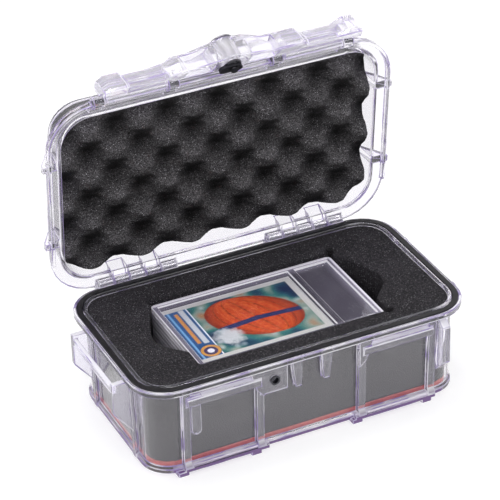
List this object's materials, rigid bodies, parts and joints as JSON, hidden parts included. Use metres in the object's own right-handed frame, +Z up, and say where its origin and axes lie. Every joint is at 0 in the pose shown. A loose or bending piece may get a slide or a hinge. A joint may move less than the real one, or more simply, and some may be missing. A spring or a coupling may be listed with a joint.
{
  "type": "graded card storage case",
  "caption": "Clear hinged hard case with a full width locking latch, convoluted lid foam and a foam cut-out that holds a stack of graded card slabs.",
  "frame": {"origin": "middle of the flat underside of the base, between the feet, which stand 2.05 mm lower", "axes": "+Z up, +X along the case to the right as seen from the latch side, -Y towards the latch side, +Y towards the hinge"},
  "size_m": [0.2418, 0.1567, 0.228],
  "materials": {
    "clear_plastic": "clear polycarbonate with a faint violet tint",
    "slab_plastic": "clear polished",
    "printed_card": "coated card stock with a printed front",
    "black_foam": "open cell foam",
    "red_foam_sheet": "matt sheet",
    "gasket_rubber": "satin",
    "steel": "bright",
    "dark_steel": "blackened"
  },
  "bodies": {
    "base": {"base_shell": "clear_plastic", "rim_gasket": "gasket_rubber", "foam_backing_sheet": "red_foam_sheet", "base_foam": "black_foam", "padlock_eyelet": "steel", "hinge_pin_right": "steel", "hinge_pin_left": "steel", "slab_1_back": "slab_plastic", "slab_1_card": "printed_card", "slab_1_front": "slab_plastic", "slab_2_back": "slab_plastic", "slab_2_card": "printed_card", "slab_2_front": "slab_plastic", "slab_3_back": "slab_plastic", "slab_3_card": "printed_card", "slab_3_front": "slab_plastic", "slab_4_back": "slab_plastic", "slab_4_card": "printed_card", "slab_4_front": "slab_plastic", "slab_5_back": "slab_plastic", "slab_5_card": "printed_card", "slab_5_front": "slab_plastic", "slab_6_back": "slab_plastic", "slab_6_card": "printed_card", "slab_6_front": "slab_plastic", "slab_7_back": "slab_plastic", "slab_7_card": "printed_card", "slab_7_front": "slab_plastic", "slab_8_back": "slab_plastic", "slab_8_card": "printed_card", "slab_8_front": "slab_plastic"},
    "lid": {"lid_shell": "clear_plastic", "lid_foam": "black_foam", "latch_rod_right": "steel", "latch_rod_left": "steel"},
    "latch": {"latch_handle": "clear_plastic", "lock_housing": "dark_steel"},
    "lock": {"lock_cylinder": "steel", "lock_cam": "dark_steel", "cam_screw": "steel"}
  },
  "joints": [
    {"name": "lid_hinge", "type": "hinge", "parent": "base", "child": "lid", "pos_m": [0, 0.0675, 0.06384], "axis": [1, 0, 0], "range_deg": [0, 84.8]},
    {"name": "latch_hinge", "type": "hinge", "parent": "lid", "child": "latch", "pos_m": [0, 0.05279, 0.20187], "axis": [1, 0, 0], "range_deg": [0, 70]},
    {"name": "lock_turn", "type": "hinge", "parent": "latch", "child": "lock", "pos_m": [0, 0.04747, 0.21318], "axis": [0, 0.9048, 0.4258], "range_deg": [0, 90]}
  ]
}
